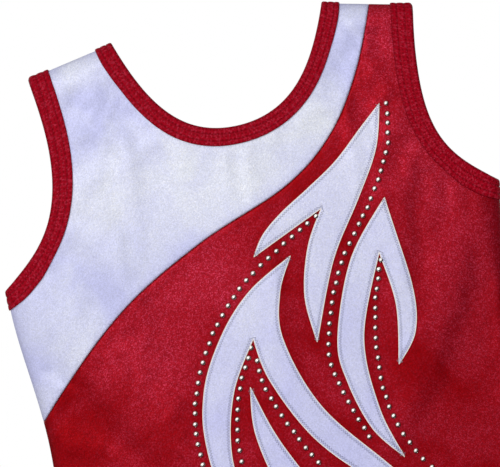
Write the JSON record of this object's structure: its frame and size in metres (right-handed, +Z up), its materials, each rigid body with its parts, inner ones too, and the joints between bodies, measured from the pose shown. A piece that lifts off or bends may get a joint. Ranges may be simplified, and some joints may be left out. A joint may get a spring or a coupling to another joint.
{
  "type": "gymnastics leotard",
  "caption": "Child's sleeveless gymnastics leotard with an asymmetric yoke, bound openings, flame appliques and dome stud trim.",
  "frame": {"origin": "middle of the shoulder line, where the garment hangs", "axes": "+Z up towards the shoulders, front towards -Y, +X to the wearer's left"},
  "size_m": [0.3006, 0.0414, 0.5478],
  "materials": {
    "pearl_foil_spandex": "pearl foil on knitted spandex, satin sheen",
    "red_foil_spandex": "red foil on knitted spandex, fine glitter and satin sheen",
    "lining_tricot": "matt knitted tricot",
    "red_binding": "folded stretch binding with twin-needle stitching",
    "clear_elastic": "plain flat elastic",
    "overlock_thread": "overlocked seam allowance",
    "label_satin": "blank woven satin",
    "bright_stud": "pressed bright dome",
    "pearl_applique": "pearl foil cloth with stitched edge"
  },
  "bodies": {
    "root": {"front_yoke_panel": "pearl_foil_spandex", "front_body_panel": "red_foil_spandex", "back_panel": "red_foil_spandex", "front_lining": "lining_tricot", "crotch_lining": "lining_tricot", "neck_binding": "red_binding", "left_armhole_binding": "red_binding", "left_leg_binding": "red_binding", "right_armhole_binding": "red_binding", "right_leg_binding": "red_binding", "neck_elastic": "clear_elastic", "left_armhole_elastic": "clear_elastic", "left_leg_elastic": "clear_elastic", "right_armhole_elastic": "clear_elastic", "right_leg_elastic": "clear_elastic", "left_side_seam": "overlock_thread", "right_side_seam": "overlock_thread", "left_shoulder_seam": "overlock_thread", "right_shoulder_seam": "overlock_thread", "crotch_seam": "overlock_thread", "yoke_seam": "overlock_thread", "care_label": "label_satin", "stud_row_a": "bright_stud", "stud_row_b": "bright_stud", "stud_row_c": "bright_stud", "stud_row_d": "bright_stud", "stud_row_e": "bright_stud", "flame_tall": "pearl_applique", "flame_right": "pearl_applique", "flame_left": "pearl_applique", "flame_inner": "pearl_applique"}
  },
  "joints": []
}
